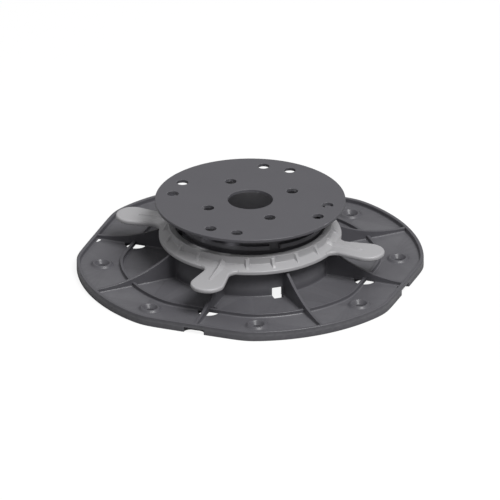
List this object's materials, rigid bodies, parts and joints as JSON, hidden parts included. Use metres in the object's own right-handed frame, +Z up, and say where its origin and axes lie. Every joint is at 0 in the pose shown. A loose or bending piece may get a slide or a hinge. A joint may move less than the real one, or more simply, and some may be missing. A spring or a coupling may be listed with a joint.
{
  "type": "adjustable paving pedestal",
  "caption": "Low adjustable plastic support for paving slabs: ribbed round base, winged nut turning on its hub, and a threaded disc head with fixing holes.",
  "frame": {"origin": "on the ground under the centre of the base", "axes": "+Z up along the axis that the nut turns on; +X and +Y through the middles of two neighbouring straight sides of the base"},
  "size_m": [0.1904, 0.1904, 0.043],
  "materials": {
    "dark_moulding": "dark grey moulded polypropylene, semi-matt",
    "light_moulding": "light grey moulded polypropylene, semi-matt"
  },
  "bodies": {
    "base": {"base": "dark_moulding"},
    "nut": {"adjusting_nut": "light_moulding"},
    "head": {"head": "dark_moulding"}
  },
  "joints": [
    {"name": "nut_turn", "type": "hinge", "parent": "base", "child": "nut", "pos_m": [0, 0, 0.0193], "axis": [0, 0, 1], "range_deg": [-480, 600]},
    {"name": "head_lift", "type": "slide", "parent": "base", "child": "head", "axis": [0, 0, 1], "range_m": [-0.008, 0.01]}
  ],
  "couplings": [
    {"joint": "head_lift", "follows": "nut_turn", "m_per_rad": 0.00095492}
  ]
}
